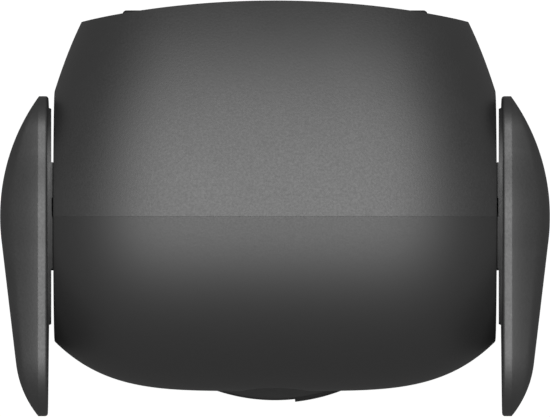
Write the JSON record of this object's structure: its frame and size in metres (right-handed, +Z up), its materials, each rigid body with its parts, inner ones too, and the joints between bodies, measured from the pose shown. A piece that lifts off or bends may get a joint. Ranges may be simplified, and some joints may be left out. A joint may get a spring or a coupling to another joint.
{
  "type": "indoor security camera",
  "caption": "Pan and tilt indoor camera: a barrel-shaped head tilts between two domed arms that turn on a round base with rear sockets.",
  "frame": {"origin": "mouth of the tripod thread in the base plate's underside, on the axis that the camera turns about", "axes": "+Z up along the turning axis, -Y the way the lens looks, +X to the left arm's opposite side, along the tilt axis"},
  "size_m": [0.11, 0.0831, 0.1146],
  "materials": {
    "charcoal_shell": "fine grained matte charcoal",
    "dark_panel": "matte black",
    "bezel_black": "satin black",
    "clear_glass": "clear",
    "dark_window": "gloss dark red-black",
    "board": "green solder mask",
    "chip": "matte black",
    "steel": "plated steel",
    "brass": "turned brass",
    "aluminium": "extruded",
    "bearing_white": "moulded acetal",
    "rubber": "soft black"
  },
  "bodies": {
    "base": {"base_shell": "charcoal_shell", "base_plate": "charcoal_shell", "base_weight": "steel", "base_screws": "steel", "rubber_feet": "rubber", "tripod_insert": "brass", "main_board": "board", "network_socket": "steel", "power_socket": "steel", "reset_switch": "dark_panel", "card_board": "board", "card_socket": "steel", "speaker": "dark_panel", "pan_motor": "steel", "pan_bearing": "bearing_white"},
    "reset_button": {"reset_button": "dark_panel"},
    "card_door": {"card_door": "charcoal_shell"},
    "memory_card": {"memory_card": "chip"},
    "pan_pinion": {"pan_pinion": "bearing_white"},
    "yoke": {"turntable": "charcoal_shell", "pan_gear": "bearing_white", "retaining_ring": "steel", "left_arm": "charcoal_shell", "right_arm": "charcoal_shell", "left_arm_cover": "charcoal_shell", "right_arm_cover": "charcoal_shell", "left_arm_disc": "charcoal_shell", "right_arm_disc": "charcoal_shell", "left_hub": "charcoal_shell", "right_hub": "charcoal_shell", "tilt_gear": "bearing_white", "arm_screws": "steel", "cover_screws": "steel", "arm_cable": "dark_panel"},
    "head": {"front_shell": "charcoal_shell", "rear_shell": "charcoal_shell", "rear_panel": "dark_panel", "lens_bezel": "bezel_black", "lens_window": "clear_glass", "lens_barrel": "bezel_black", "front_lens": "clear_glass", "lens_mount": "bezel_black", "image_sensor": "chip", "sensor_board": "board", "infrared_window": "dark_window", "infrared_board": "board", "infrared_lamps": "chip", "microphone": "steel", "status_light": "clear_glass", "head_frame": "dark_panel", "frame_screws": "steel", "head_board": "board", "heat_sink": "aluminium", "tilt_motor": "steel", "left_bush": "bearing_white", "right_bush": "bearing_white"},
    "tilt_pinion": {"tilt_pinion": "bearing_white"},
    "infrared_filter": {"infrared_filter": "clear_glass"}
  },
  "joints": [
    {"name": "pan", "type": "hinge", "parent": "base", "child": "yoke", "pos_m": [0, 0, 0.021], "axis": [0, 0, 1], "range_deg": [-170, 170]},
    {"name": "pan_pinion_spin", "type": "hinge", "parent": "base", "child": "pan_pinion", "pos_m": [-0.01756, 0.01756, 0.0155], "axis": [0, 0, 1], "range_deg": [-709, 709]},
    {"name": "tilt", "type": "hinge", "parent": "yoke", "child": "head", "pos_m": [0, 0, 0.07834], "axis": [-1, 0, 0], "range_deg": [-30, 80]},
    {"name": "tilt_pinion_spin", "type": "hinge", "parent": "head", "child": "tilt_pinion", "pos_m": [-0.036, 0.01564, 0.07834], "axis": [-1, 0, 0], "range_deg": [-101, 268]},
    {"name": "reset_press", "type": "slide", "parent": "base", "child": "reset_button", "axis": [0, -1, 0], "range_m": [0, 0.0005], "stiffness_N_per_m": 800, "springref_m": -0.0005},
    {"name": "card_door_swing", "type": "hinge", "parent": "base", "child": "card_door", "pos_m": [-0.0202, -0.0304, 0.011], "axis": [0, 0, -1], "range_deg": [0, 95]},
    {"name": "card_push", "type": "slide", "parent": "base", "child": "memory_card", "axis": [0, 1, 0], "range_m": [0, 0.0008], "stiffness_N_per_m": 600, "springref_m": -0.0005},
    {"name": "filter_shift", "type": "slide", "parent": "head", "child": "infrared_filter", "axis": [1, 0, 0], "range_m": [0, 0.005]}
  ],
  "couplings": [
    {"joint": "pan_pinion_spin", "follows": "pan", "ratio": -4.1667},
    {"joint": "tilt_pinion_spin", "follows": "tilt", "ratio": 3.3333}
  ]
}
